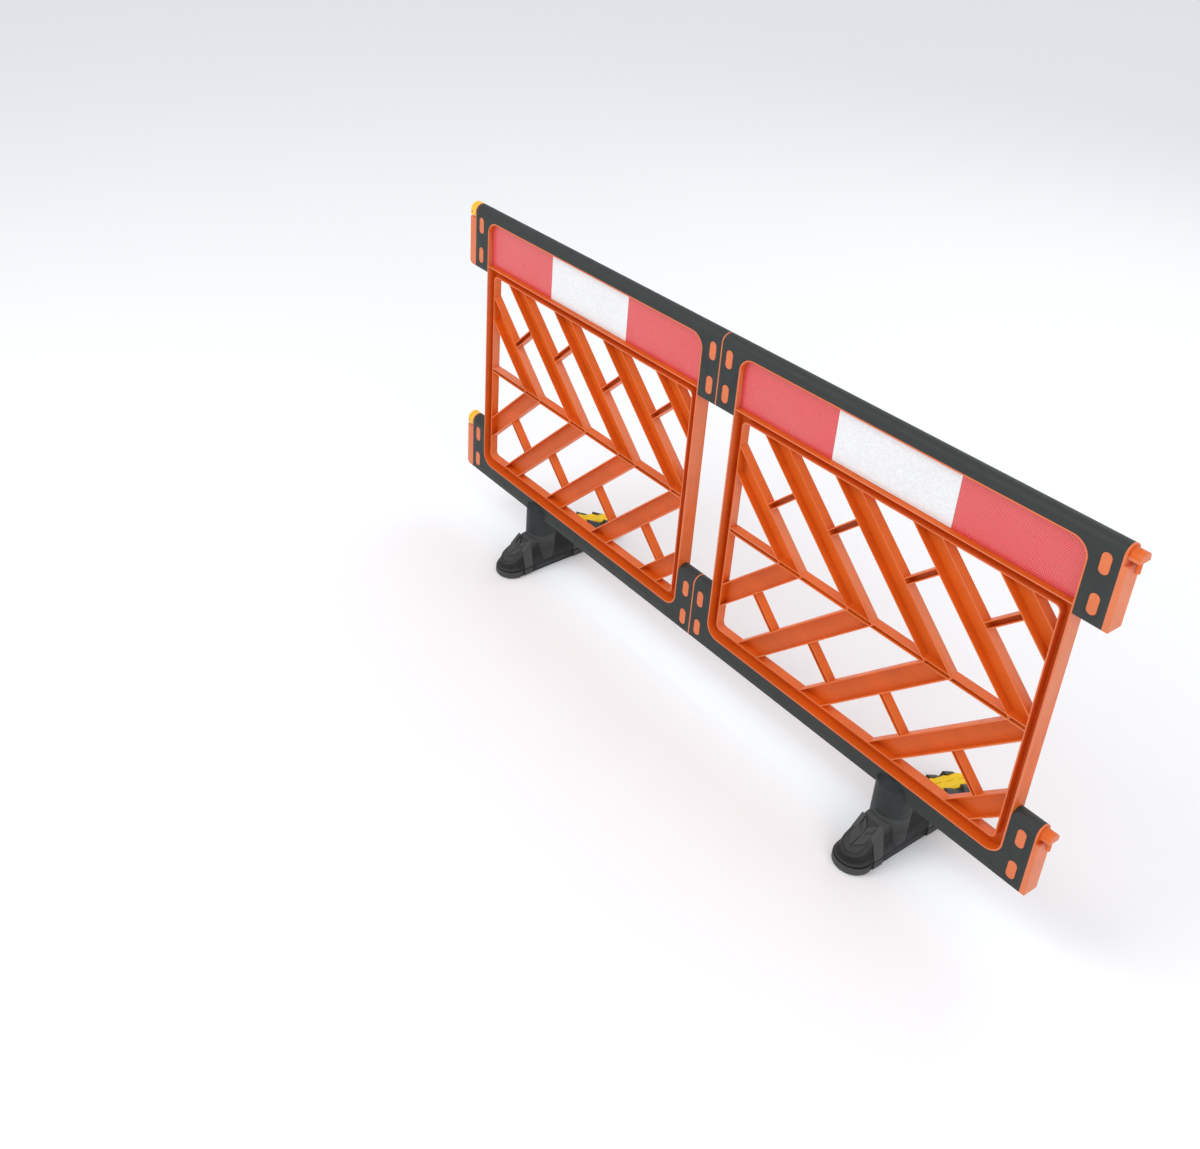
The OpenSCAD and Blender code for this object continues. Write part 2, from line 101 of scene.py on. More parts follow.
class MouldingSizes(bpy.types.PropertyGroup):
    window_edge: length("Window edge", "Rounding of the window mouldings' edges", 0.0011)
    cap_edge: length("Cap edge", "Rounding of the rail caps' edges", 0.0014)
    fitting_edge: length("Fitting edge", "Rounding of the link fittings' edges", 0.0015)
    foot_edge: length("Foot edge", "Rounding of the feet's edges", 0.0012)
    small_edge: length("Small edge", "Rounding of sheets, latches, pins and washers", 0.0005)
    edge_steps: IntProperty(name="Edge steps", description="Segments in each rounded edge",
                            default=2, min=1, max=4)


class FootSizes(bpy.types.PropertyGroup):
    skirt_height: length("Skirt height", "Height of the upright rim round the sole", 0.021)
    skirt_groove: length("Skirt groove", "Depth of the groove above the rim", 0.003)
    ridge_width: length("Ridge width", "Width of the foot along its top", 0.056)
    rib_length: length("Rib length", "Length of each raised side rib", 0.043)
    stub_rib_length: length("Stub rib length", "Length of the side rib on the short end", 0.028)
    rib_pitch: length("Rib pitch", "Spacing of the side ribs along the arm", 0.064)
    rib_stand: length("Rib stand", "How far a side rib stands out of the side", 0.0042)
    rib_rise: length("Rib rise", "How far a side rib's top stands above the foot's top", 0.0105)
    rib_thickness: length("Rib thickness", "Thickness of a side rib, sunk into the side", 0.0105)
    skirt_notch: length("Skirt notch", "How far the rim steps in between the side ribs", 0.0032)
    chevron_pitch: length("Chevron pitch", "Spacing of the chevrons on a tread", 0.052)
    chevron_ramp: length("Chevron ramp", "Length of the ramp behind a chevron's edge", 0.028)
    chevron_rise: length("Chevron rise", "Height of a chevron above its tread", 0.0048)
    tread_proud: length("Tread proud", "Height of a tread above the foot's top", 0.0034)
    dimple_radius: length("Dimple radius", "Radius of the boss at the tread's inner end", 0.0125)
    tread_slope: angle("Tread slope", "Fall of the tread pad towards the toe", 19.9)
    neck_gap: length("Neck gap", "Gap between the neck and its socket", 0.0004)
    stub_drop: length("Stub drop", "Drop from the neck's top to the short end's top", 0.014)
    stub_tip: length("Stub tip", "Height of the short end's top at the heel", 0.042)


class StripSizes(bpy.types.PropertyGroup):
    cell_width: length("Cell width", "Width of one cell of the reflective sheet", 0.0052)
    cell_height: length("Cell height", "Height of one row of cells", 0.0042)
    cell_line: FloatProperty(name="Cell line", description="Width of a cell's edge, in cells",
                             default=0.10, min=0.0, max=0.4)


class Finishes(bpy.types.PropertyGroup):
    orange: colour("Orange", "Moulded windows and link fittings", (220, 98, 25))
    cap: colour("Cap", "Dark skins over the rails", (27, 37, 39))
    rubber: colour("Rubber", "Foot body", (33, 33, 34))
    black: colour("Black", "Foot locks", (26, 27, 29))
    pad: colour("Pad", "Tread pads", (250, 208, 6))
    latch: colour("Latch", "Link latches", (249, 194, 44))
    red: colour("Red", "Red reflective sheet", (220, 28, 33))
    white: colour("White", "White reflective sheet", (236, 237, 238))
    zinc: colour("Zinc", "Bolts, washers and pins", (176, 178, 182))


class StudioSettings(bpy.types.PropertyGroup):
    heading: angle("Heading", "Turn of the camera about the vertical", -123.02)
    tilt: angle("Tilt", "Tilt of the camera from straight down", 60.25)
    place: FloatVectorProperty(name="Place", description="Where the camera stands", size=3,
                               default=(-1.8865, 2.0799, 2.3135), subtype="XYZ", unit="LENGTH")
    lens: FloatProperty(name="Lens", description="Focal length in millimetres", default=39.51)
    shift: FloatVectorProperty(name="Shift", description="Sideways and upward shift of the frame",
                               size=2, default=(0.1329, -0.1274))
    floor: colour("Floor", "Colour of the floor", (253, 253, 253))
    sky: FloatProperty(name="Sky", description="Strength of the even studio light", default=0.80)
    key: FloatProperty(name="Key", description="Power of the main light in watts", default=82.0)
    fill: FloatProperty(name="Fill", description="Power of each fill light in watts", default=27.0)


class BarrierSettings(bpy.types.PropertyGroup):
    moulding: PointerProperty(type=MouldingSizes)
    foot: PointerProperty(type=FootSizes)
    strip: PointerProperty(type=StripSizes)
    finish: PointerProperty(type=Finishes)
    studio: PointerProperty(type=StudioSettings)


# ---- meshes -----------------------------------------------------------------------------

def settings():
    """The barrier's own settings on the open scene."""
    return bpy.context.scene.barrier


def new_object(name, mesh_builder, material, smooth_angle=32):
    """An object from a bmesh, smooth except at edges sharper than an angle."""
    mesh = bpy.data.meshes.new(name)
    bmesh.ops.recalc_face_normals(mesh_builder, faces=mesh_builder.faces)
    mesh_builder.to_mesh(mesh)
    mesh_builder.free()
    mesh.materials.append(material)
    for polygon in mesh.polygons:
        polygon.use_smooth = True
    mesh.set_sharp_from_angle(angle=math.radians(smooth_angle))
    piece = bpy.data.objects.new(name, mesh)
    bpy.context.scene.collection.objects.link(piece)
    return piece


def round_edges(piece, width, steps, limit=35):
    """Rounds, as real geometry, the edges that are sharper than a limit in degrees."""
    bevel = piece.modifiers.new("Rounded edges", "BEVEL")
    bevel.width = width
    bevel.segments = steps
    bevel.limit_method = "ANGLE"
    bevel.angle_limit = math.radians(limit)
    bevel.harden_normals = True
    bevel.use_clamp_overlap = True


def seat(piece, body, slot, *nodes):
    """Rides a piece on its body and hides the plain solids it stands for; slot is not used."""
    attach(piece, body)
    if nodes:
        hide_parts(*nodes)
    return piece


def moulded_copy(node, body, slot, material, edge):
    """The shape of a CAD node with clean faces and rounded edges."""
    builder = bmesh.new()
    builder.from_mesh(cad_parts[node].data)
    bmesh.ops.remove_doubles(builder, verts=builder.verts, dist=WELD_DISTANCE)
    bmesh.ops.dissolve_limit(builder, angle_limit=FLAT_ANGLE, verts=builder.verts,
                             edges=builder.edges)
    piece = new_object(node + "_moulding", builder, material)
    round_edges(piece, edge, settings().moulding.edge_steps)
    return seat(piece, body, slot, node)


def add_ring_stack(builder, rings):
    """Skins a stack of rings of equal length and closes both ends by pairing their sides."""
    rows = [[builder.verts.new(point) for point in ring] for ring in rings]
    count = len(rows[0])
    for lower, upper in zip(rows, rows[1:]):
        for i in range(count):
            j = (i + 1) % count
            builder.faces.new((lower[i], lower[j], upper[j], upper[i]))
    for row in (rows[0], rows[-1]):
        close_ring(builder, row)


def close_ring(builder, row):
    """Fills a ring that is symmetrical about its first point by joining left to right."""
    count = len(row)
    for i in range(count // 2):
        corners = [row[i], row[i + 1], row[count - 1 - i], row[(count - i) % count]]
        corners = list(dict.fromkeys(corners))
        if len(corners) > 2:
            builder.faces.new(corners)


def circle(radius, height, steps, centre=0.0):
    """A round ring about a place on the Y axis, starting at its +Y side."""
    turns = [2 * math.pi * i / steps for i in range(steps)]
    return [(radius * math.sin(turn), centre + radius * math.cos(turn), height) for turn in turns]


def add_solid(builder, lower, upper):
    """A closed solid between two matching outlines."""
    low = [builder.verts.new(point) for point in lower]
    high = [builder.verts.new(point) for point in upper]
    count = len(low)
    builder.faces.new(list(reversed(low)))
    builder.faces.new(high)
    for i in range(count):
        j = (i + 1) % count
        builder.faces.new((low[i], low[j], high[j], high[i]))


def interpolate(points, at):
    """Height at a place along a line of (place, height) points."""
    for (a, low), (b, high) in zip(points, points[1:]):
        if at <= b:
            share = max(0.0, (at - a) / (b - a))
            return low + (high - low) * share
    return points[-1][1]


# ---- foot -------------------------------------------------------------------------------

class FootShape:
    """Sizes of one foot about its pivot, taken from its solids' boxes."""

    def __init__(self, side):
        low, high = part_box(f"foot_{side}")
        socket_low, socket_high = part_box(f"socket_{side}")
        pad_low, pad_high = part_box(f"tread_pad_{side}")
        self.sizes = settings().foot
        self.pivot = Vector(((low.x + high.x) / 2, (socket_low.y + socket_high.y) / 2, 0))
        self.radius = (high.x - low.x) / 2
        self.front = low.y - self.pivot.y
        self.back = high.y - self.pivot.y
        self.neck = (socket_high.x - socket_low.x) / 2
        self.neck_top = socket_low.z - self.sizes.neck_gap
        self.pad_outer = pad_low.y - self.pivot.y
        self.pad_inner = pad_high.y - self.pivot.y
        self.pad_width = pad_high.x - pad_low.x
        shoulder_step = 0.002
        groove_height = 0.003
        pad_fall = math.tan(self.sizes.tread_slope) * (self.pad_inner - self.pad_outer)
        self.pad_top = pad_high.z - self.sizes.tread_proud
        self.shoulder = pad_high.z + shoulder_step
        self.tip = self.pad_top - pad_fall
        self.stub_shoulder = self.neck_top - self.sizes.stub_drop
        self.heel_run = 0.010
        self.side_base = self.sizes.skirt_height + groove_height

    def top(self):
        """Side view of the foot's top as (place, height) points from toe to heel."""
        toe_run, toe_fall, toe_sink = 0.016, 0.012, 0.001
        shoulder_run = 0.006
        shoulder_end, stub_start = -0.030, 0.010
        heel_fall = 0.010
        stub_tip = self.sizes.stub_tip
        return [(self.front, self.tip - toe_fall), (self.front + toe_run, self.tip - toe_sink),
                (self.pad_inner, self.pad_top), (self.pad_inner + shoulder_run, self.shoulder),
                (shoulder_end, self.shoulder), (stub_start, self.stub_shoulder),
                (self.neck, self.stub_shoulder), (self.back - self.heel_run, stub_tip),
                (self.back, stub_tip - heel_fall)]

    def ribs(self):
        """Stretches along the foot, from toe side to heel side, where a side rib stands out."""
        sizes = self.sizes
        front_ribs = 3
        toe_margin, neck_margin = 0.020, 0.014
        first = self.pad_outer + toe_margin
        front = [first + i * sizes.rib_pitch for i in range(front_ribs)]
        back = self.neck + neck_margin
        return [(y, y + sizes.rib_length) for y in front] + [(back, back + sizes.stub_rib_length)]

    def stations(self, toe, heel):
        """Places along the straight sides, from heel to toe, with a step at each rib's ends."""
        step = 0.0015
        spaces = 24
        clearance = 0.005
        places = []
        for low, high in self.ribs():
            places += [low - step, low, high, high + step]
        for i in range(1, spaces):
            place = heel + (toe - heel) * i / spaces
            if all(abs(place - other) > clearance for other in places):
                places.append(place)
        return sorted((y for y in places if toe + step < y < heel - step), reverse=True)

    def outline(self, inset, notch=0.0):
        """Plan of the foot from the heel's middle round to it again, symmetrical left to right."""
        radius = self.radius - inset
        heel = self.back - self.radius
        toe = self.front + self.radius
        arc_steps = 10
        half = []
        for i in range(arc_steps + 1):
            turn = math.pi / 2 * i / arc_steps
            half.append((radius * math.sin(turn), heel + radius * math.cos(turn)))
        for y in self.stations(toe, heel):
            ribbed = any(low <= y <= high for low, high in self.ribs())
            half.append((radius - (0.0 if ribbed else notch), y))
        for i in range(arc_steps + 1):
            turn = math.pi / 2 * i / arc_steps
            half.append((radius * math.cos(turn), toe - radius * math.sin(turn)))
        mirrored = [(-x, y) for x, y in reversed(half[1:-1])]
        return half + mirrored


def foot_rings(shape):
    """Rings from the sole up over the skirt, the groove and the sloping sides to the ridge.

    The flat rings are (height, inset) pairs; the rising ones are (share of the way up, inset).
    """
    sizes = shape.sizes
    profile = shape.top()
    ridge = shape.radius - sizes.ridge_width / 2
    skirt = sizes.skirt_height
    groove = sizes.skirt_groove
    lip = 0.001
    flat_rings = [(0.0, 0.004), (0.0008, 0.0016), (0.0030, 0.0), (skirt - 0.002, 0.0),
                  (skirt, lip), (skirt + 0.0004, lip + groove), (shape.side_base, lip + groove)]
    rising_rings = [(0.05, groove - 0.0005), (0.35, 0.008), (0.70, 0.012), (0.90, ridge - 0.0035),
                    (0.97, ridge - 0.0010), (1.0, ridge + 0.0020)]
    rings = []
    for height, inset in flat_rings:
        notch = sizes.skirt_notch if height <= skirt and inset < groove else 0.0
        rings.append([(x, y, height) for x, y in shape.outline(inset, notch)])
    base = shape.side_base
    for share, inset in rising_rings:
        rings.append([(x, y, base + share * (interpolate(profile, y) - base))
                      for x, y in shape.outline(inset)])
    return rings


def add_side_rib(builder, shape, side, near, far):
    """One raised rib leaning against the foot's side, highest at its near end."""
    sizes = shape.sizes
    profile = shape.top()
    sink = 0.002
    far_rise = 0.001
    root = shape.radius - sizes.skirt_groove + sizes.rib_stand - sink
    crest = sizes.ridge_width / 2 + sizes.rib_stand - sink
    near_top = interpolate(profile, near) + sizes.rib_rise
    far_top = interpolate(profile, far) + far_rise
    outer = [(side * root, near, shape.side_base), (side * root, far, shape.side_base),
             (side * crest, far, far_top), (side * crest, near, near_top)]
    inner = [(x - side * sizes.rib_thickness, y, z) for x, y, z in outer]
    add_solid(builder, outer, inner)


def add_neck(builder, shape):
    """Round neck that starts inside the foot and runs up to the socket, with a chamfered top."""
    start, middle, chamfer = 0.030, 0.070, 0.0025
    levels = [(start, 0.0), (middle, 0.0), (shape.neck_top - chamfer, 0.0),
              (shape.neck_top, -chamfer)]
    add_ring_stack(builder, [circle(shape.neck + grow, height, steps=56)
                             for height, grow in levels])


def build_foot(side, material):
    """One foot's body with its neck and side ribs."""
    shape = FootShape(side)
    builder = bmesh.new()
    add_ring_stack(builder, foot_rings(shape))
    add_neck(builder, shape)
    for way in (-1, 1):
        for low, high in shape.ribs():
            near, far = (high, low) if low < 0 else (low, high)
            add_side_rib(builder, shape, way, near, far)
    piece = new_object(f"foot_{side}_body", builder, material, smooth_angle=40)
    piece.data.transform(Matrix.Translation(shape.pivot))
    moulding = settings().moulding
    round_edges(piece, moulding.foot_edge, moulding.edge_steps, limit=50)
    return seat(piece, f"foot_{side}", "black_rubber", f"foot_{side}")


def slot_ring(radius, half, height):
    """A round-ended ring along Y; half is the distance from its middle to each end's centre."""
    quarter_steps = 7
    arc = [math.pi * i / (2 * quarter_steps) for i in range(2 * quarter_steps + 1)]
    right = [(radius * math.sin(a), half + radius * math.cos(a)) for a in arc[:quarter_steps + 1]]
    right += [(radius * math.sin(a), -half + radius * math.cos(a)) for a in arc[quarter_steps:]]
    ring = right + [(-x, y) for x, y in reversed(right[1:-1])]
    return [(x, y, height) for x, y in ring]


def add_tread(builder, sizes, tread_length, width, depth, chevrons, dimple):
    """A tread in its own plane: +Y points to its inner end and its face is at z = 0."""
    radius = width / 2
    half = tread_length / 2 - radius
    layers = [(-depth, 0.0), (-0.0016, 0.0), (-0.0005, 0.0005), (0.0, 0.0017)]
    add_ring_stack(builder, [slot_ring(radius - inset, half, height) for height, inset in layers])
    margin = 0.0035
    toe_share, inner_share = 0.55, 0.45
    for i in range(chevrons):
        apex = -tread_length / 2 + radius * toe_share + i * sizes.chevron_pitch
        add_chevron(builder, sizes, apex, radius - margin, half + radius * inner_share)
    if dimple:
        add_dimple(builder, sizes, half)


def add_chevron(builder, sizes, apex, reach, end):
    """A V of two wedges across the tread, steep towards the toe, that ends before a given place."""
    sweep = 1.05
    inner_stretch = 1.3
    slant = 0.0009
    middle_gap = 0.0010
    root, low_end = -0.001, 0.0002
    run = reach * sweep
    ramp = min(sizes.chevron_ramp, end - apex - run)
    for way in (-1, 1):
        outline = [(way * middle_gap, apex), (way * reach, apex + run),
                   (way * reach, apex + run + ramp),
                   (way * middle_gap, apex + ramp * inner_stretch)]
        top = [(x, y + slant, sizes.chevron_rise) for x, y in outline[:2]]
        top += [(x, y - slant, low_end) for x, y in outline[2:]]
        add_solid(builder, [(x, y, root) for x, y in outline], top)


def add_dimple(builder, sizes, centre):
    """A low round boss with a hollow face."""
    profile = [(1.0, -0.001), (0.97, 0.0012), (0.88, 0.0022), (0.72, 0.0018), (0.55, 0.0006),
               (0.30, -0.0001)]
    add_ring_stack(builder, [circle(share * sizes.dimple_radius, height, steps=32, centre=centre)
                             for share, height in profile])


def build_tread_pad(side, material):
    """The yellow tread pad let into the long arm."""
    shape = FootShape(side)
    low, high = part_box(f"tread_pad_{side}")
    centre = (low + high) / 2
    sizes = shape.sizes
    fit = 0.985
    face_lift = 0.0040
    tread_length = (high.y - low.y) / math.cos(sizes.tread_slope)
    builder = bmesh.new()
    add_tread(builder, sizes, tread_length * fit, shape.pad_width, depth=0.007, chevrons=4,
              dimple=True)
    piece = new_object(f"tread_pad_{side}_face", builder, material)
    turn = Matrix.Rotation(sizes.tread_slope, 4, "X")
    lift = turn @ Vector((0, 0, face_lift))
    piece.data.transform(Matrix.Translation(centre + lift) @ turn)
    return seat(piece, f"foot_{side}", "yellow_pad", f"tread_pad_{side}")


def build_stub_tread(side, material):
    """The black tread moulded on the short stub behind the panel."""
    shape = FootShape(side)
    sizes = shape.sizes
    fit = 0.94
    face_lift = 0.002
    fall = shape.stub_shoulder - sizes.stub_tip
    run = shape.back - shape.heel_run - shape.neck
    slope = math.atan2(fall, run)
    builder = bmesh.new()
    add_tread(builder, sizes, run * fit, width=0.046, depth=0.006, chevrons=2, dimple=False)
    piece = new_object(f"foot_{side}_stub_tread", builder, material)
    turn = Matrix.Rotation(math.pi, 4, "Z") @ Matrix.Rotation(slope, 4, "X")
    middle_height = (shape.stub_shoulder + sizes.stub_tip) / 2 + face_lift
    place = shape.pivot + Vector((0, shape.neck + run / 2, middle_height))
    piece.data.transform(Matrix.Translation(place) @ turn)
    return seat(piece, f"foot_{side}", "black_rubber")


# ---- materials --------------------------------------------------------------------------

FULL = (0.0, 1.0)
MID = (0.3, 0.7)
PALE_DUST = (0.75, 0.72, 0.68)
RUBBER_DUST = (0.35, 0.35, 0.34)
RUBBED_RUBBER = (0.4, 0.4, 0.4)
# Paler edge tone of the moulded plastics: partly wear, partly a painted highlight on the rounded
# edges.
EDGE_WEAR_AND_HIGHLIGHT = (0.95, 0.85, 0.70)
CELL_EDGE = (0.95, 0.88, 0.88)
SHEET_DIRT = (0.7, 0.68, 0.66)


class Finish:
    """Builds one node-based material step by step."""

    def __init__(self, name):
        self.material = bpy.data.materials.new(name)
        self.material.use_nodes = True
        self.nodes = self.material.node_tree.nodes
        self.links = self.material.node_tree.links
        self.shader = self.nodes["Principled BSDF"]
        self.coordinates = self.nodes.new("ShaderNodeTexCoord").outputs["Object"]

    def node(self, kind, **values):
        """A new shader node with its options set."""
        made = self.nodes.new(kind)
        for key, value in values.items():
            setattr(made, key, value)
        return made

    def set(self, **values):
        """Sets constants on the shader's own sockets, such as coat_weight for Coat Weight."""
        for key, value in values.items():
            socket = key.replace("_", " ").title().replace("Ior", "IOR")
            self.shader.inputs[socket].default_value = value

    def noise(self, scale, detail=4.0, roughness=0.55, stretch=None):
        """Noise in the piece's own space; scale is in ripples per metre."""
        made = self.node("ShaderNodeTexNoise")
        made.inputs["Scale"].default_value = scale
        made.inputs["Detail"].default_value = detail
        made.inputs["Roughness"].default_value = roughness
        source = self.coordinates
        if stretch:
            mapping = self.node("ShaderNodeMapping")
            mapping.inputs["Scale"].default_value = stretch
            self.links.new(source, mapping.inputs["Vector"])
            source = mapping.outputs["Vector"]
        self.links.new(source, made.inputs["Vector"])
        return made.outputs["Fac"]

    def ramp(self, source, span, result):
        """Maps a span of a value onto a span of results, and holds it at both ends."""
        made = self.node("ShaderNodeMapRange")
        for key, value in zip(("From Min", "From Max", "To Min", "To Max"), (*span, *result)):
            made.inputs[key].default_value = value
        self.links.new(source, made.inputs["Value"])
        return made.outputs["Result"]

    def mix(self, factor, first, second):
        """Mixes two colours by a socket; each is a linear colour or a socket."""
        made = self.node("ShaderNodeMix", data_type="RGBA")
        self.links.new(factor, made.inputs["Factor"])
        for key, value in (("A", first), ("B", second)):
            socket = [s for s in made.inputs if s.name == key and s.type == "RGBA"][0]
            if isinstance(value, bpy.types.NodeSocket):
                self.links.new(value, socket)
            else:
                socket.default_value = (*value, 1.0)
        return [s for s in made.outputs if s.type == "RGBA"][0]

    def colour(self, source):
        self.links.new(source, self.shader.inputs["Base Color"])

    def rough(self, source):
        self.links.new(source, self.shader.inputs["Roughness"])

    def bump(self, source, strength, distance, below=None):
        """Bumps the surface, on top of another bump where one is given."""
        made = self.node("ShaderNodeBump")
        made.inputs["Strength"].default_value = strength
        made.inputs["Distance"].default_value = distance
        self.links.new(source, made.inputs["Height"])
        if below is not None:
            self.links.new(below, made.inputs["Normal"])
        self.links.new(made.outputs["Normal"], self.shader.inputs["Normal"])
        return made.outputs["Normal"]

    def edge(self, amount):
        """How strongly a point lies on an outer edge, up to an amount."""
        geometry = self.node("ShaderNodeNewGeometry")
        outer = self.ramp(geometry.outputs["Pointiness"], (0.505, 0.56), FULL)
        return self.ramp(outer, FULL, (0.0, amount))


def shade(base, factor):
    """A lighter or darker colour."""
    return tuple(min(1.0, value * factor) for value in base)


def tint(base, other, share):
    """A colour moved a share of the way to another."""
    return tuple(a + (b - a) * share for a, b in zip(base, other))


def moulded_plastic(name, base, roughness, grain, dust, gloss, edge_wear_and_highlight):
    """Moulded plastic: faint flow marks, paler edges from wear and a painted highlight, fine grain
    and a little dust.
    """
    base = tuple(base)
    finish = Finish(name)
    flow = finish.ramp(finish.noise(7.0, 5.0, 0.6, stretch=(1.0, 1.0, 2.5)), MID, FULL)
    body = finish.mix(flow, shade(base, 0.90), shade(base, 1.07))
    specks = finish.ramp(finish.noise(160.0, 3.0), (0.62, 0.80), (0.0, dust))
    dusty = finish.mix(specks, body, tint(base, PALE_DUST, 0.5))
    # Edges turn paler: partly wear, partly a painted highlight where light catches the rounded
    # edges.
    finish.colour(finish.mix(finish.edge(edge_wear_and_highlight), dusty, tint(base, EDGE_WEAR_AND_HIGHLIGHT, 0.35)))
    finish.rough(finish.ramp(finish.noise(26.0), MID, (roughness - 0.06, roughness + 0.08)))
    waves = finish.bump(finish.noise(38.0, 2.0), strength=0.10, distance=0.0015)
    finish.bump(finish.noise(900.0, 2.0), strength=grain, distance=0.0003, below=waves)
    finish.set(specular_ior_level=gloss)
    return finish.material


def foot_rubber(name, base):
    """Dense recycled rubber: granular, matt, with pale dust in its grain."""
    base = tuple(base)
    finish = Finish(name)
    patches = finish.ramp(finish.noise(9.0, 5.0, 0.65), (0.35, 0.70), FULL)
    body = finish.mix(patches, shade(base, 0.78), shade(base, 1.30))
    granules = finish.ramp(finish.noise(420.0, 3.0, 0.7), (0.60, 0.78), (0.0, 0.35))
    speckled = finish.mix(granules, body, tint(base, RUBBER_DUST, 0.5))
    finish.colour(finish.mix(finish.edge(0.35), speckled, tint(base, RUBBED_RUBBER, 0.4)))
    finish.rough(finish.ramp(finish.noise(60.0), MID, (0.55, 0.75)))
    pits = finish.bump(finish.noise(70.0, 3.0), strength=0.22, distance=0.0012)
    finish.bump(finish.noise(520.0, 3.0, 0.7), strength=0.35, distance=0.0006, below=pits)
    finish.set(specular_ior_level=0.22)
    return finish.material


def reflective_sheet(name, base, sizes):
    """Reflective sheet: small sealed cells with paler edges under a smooth clear face."""
    base = tuple(base)
    finish = Finish(name)
    axes = finish.node("ShaderNodeSeparateXYZ")
    face = finish.node("ShaderNodeCombineXYZ")
    finish.links.new(finish.coordinates, axes.inputs["Vector"])
    finish.links.new(axes.outputs["X"], face.inputs["X"])
    finish.links.new(axes.outputs["Z"], face.inputs["Y"])
    cells = finish.node("ShaderNodeTexBrick", offset=0.5, squash=1.0)
    cells.inputs["Scale"].default_value = 1.0
    cells.inputs["Brick Width"].default_value = sizes.cell_width
    cells.inputs["Row Height"].default_value = sizes.cell_height
    cells.inputs["Mortar Size"].default_value = sizes.cell_width * sizes.cell_line
    cells.inputs["Mortar Smooth"].default_value = 0.35
    cells.inputs["Color1"].default_value = (*shade(base, 0.90), 1.0)
    cells.inputs["Color2"].default_value = (*shade(base, 1.04), 1.0)
    cells.inputs["Mortar"].default_value = (*tint(base, CELL_EDGE, 0.22), 1.0)
    finish.links.new(face.outputs["Vector"], cells.inputs["Vector"])
    marks = finish.ramp(finish.noise(5.0, 6.0, 0.7), (0.42, 0.75), (0.0, 0.22))
    dirty = shade(tint(base, SHEET_DIRT, 0.25), 0.92)
    finish.colour(finish.mix(marks, cells.outputs["Color"], dirty))
    finish.rough(finish.ramp(finish.noise(18.0), MID, (0.26, 0.42)))
    finish.bump(cells.outputs["Fac"], strength=0.25, distance=0.0003)
    finish.set(specular_ior_level=0.5, coat_weight=0.35, coat_roughness=0.12)
    return finish.material


def zinc_steel(name, base):
    """Zinc plated steel with fine drawn lines."""
    base = tuple(base)
    finish = Finish(name)
    lines = finish.noise(300.0, 3.0, 0.6, stretch=(1.0, 1.0, 0.08))
    finish.colour(finish.mix(finish.ramp(lines, MID, FULL), shade(base, 0.82), shade(base, 1.1)))
    finish.rough(finish.ramp(lines, MID, (0.28, 0.42)))
    finish.bump(lines, strength=0.12, distance=0.0003)
    finish.set(metallic=1.0)
    return finish.material


def studio_floor(name, base):
    """Plain pale floor with the faintest unevenness."""
    base = tuple(base)
    finish = Finish(name)
    finish.colour(finish.mix(finish.noise(1.3, 3.0), shade(base, 0.985), shade(base, 1.0)))
    finish.set(roughness=0.85, specular_ior_level=0.1)
    return finish.material


# The last value of each look sets the paler edges: partly wear, partly a painted highlight.
PLASTICS = {
    "orange_moulding": ("orange", {"roughness": 0.40, "grain": 0.10, "dust": 0.04, "gloss": 0.28,
                                   "edge_wear_and_highlight": 0.30}),
    "dark_cap": ("cap", {"roughness": 0.52, "grain": 0.22, "dust": 0.04, "gloss": 0.22,
                         "edge_wear_and_highlight": 0.10}),
    "black_lock": ("black", {"roughness": 0.42, "grain": 0.15, "dust": 0.04, "gloss": 0.30,
                             "edge_wear_and_highlight": 0.08}),
    "tread_yellow": ("pad", {"roughness": 0.50, "grain": 0.14, "dust": 0.02, "gloss": 0.15,
                             "edge_wear_and_highlight": 0.05}),
    "latch_yellow": ("latch", {"roughness": 0.36, "grain": 0.10, "dust": 0.03, "gloss": 0.35,
                               "edge_wear_and_highlight": 0.15}),
}


def material(name):
    """Each finish by name, made once and kept."""
    known = bpy.data.materials.get(name)
    if known:
        return known
    finish = settings().finish
    if name in PLASTICS:
        base, look = PLASTICS[name]
        return moulded_plastic(name, getattr(finish, base), **look)
    recipes = {
        "foot_rubber": lambda: foot_rubber(name, finish.rubber),
        "sheet_red": lambda: reflective_sheet(name, finish.red, settings().strip),
        "sheet_white": lambda: reflective_sheet(name, finish.white, settings().strip),
        "zinc": lambda: zinc_steel(name, finish.zinc),
        "floor": lambda: studio_floor(name, settings().studio.floor),
    }
    return recipes[name]()


# ---- operators --------------------------------------------------------------------------

class BARRIER_OT_windows(bpy.types.Operator):
    """Make the two orange window mouldings"""
    bl_idname = "barrier.windows"
    bl_label = "Windows"

    def execute(self, context):
        edge = settings().moulding.window_edge
        for side in SIDES:
            moulded_copy(f"window_{side}", "panel", "orange_plastic",
                         material("orange_moulding"), edge)
        return {"FINISHED"}


class BARRIER_OT_caps(bpy.types.Operator):
    """Make the dark caps over the top and bottom rails"""
    bl_idname = "barrier.caps"
    bl_label = "Rail caps"

    def execute(self, context):
        edge = settings().moulding.cap_edge
        for rail in ("top", "bottom"):
            for side in SIDES:
                moulded_copy(f"{rail}_cap_{side}", "panel", "dark_plastic",
                             material("dark_cap"), edge)
        return {"FINISHED"}


class BARRIER_OT_link_ends(bpy.types.Operator):
    """Make the latch and hook fittings at the panel's ends"""
    bl_idname = "barrier.link_ends"
    bl_label = "Link ends"

    def execute(self, context):
        edge = settings().moulding.fitting_edge
        for end in ("latch", "hook"):
            for level in LEVELS:
                moulded_copy(f"{end}_end_{level}", "panel", "orange_plastic",
                             material("orange_moulding"), edge)
        return {"FINISHED"}


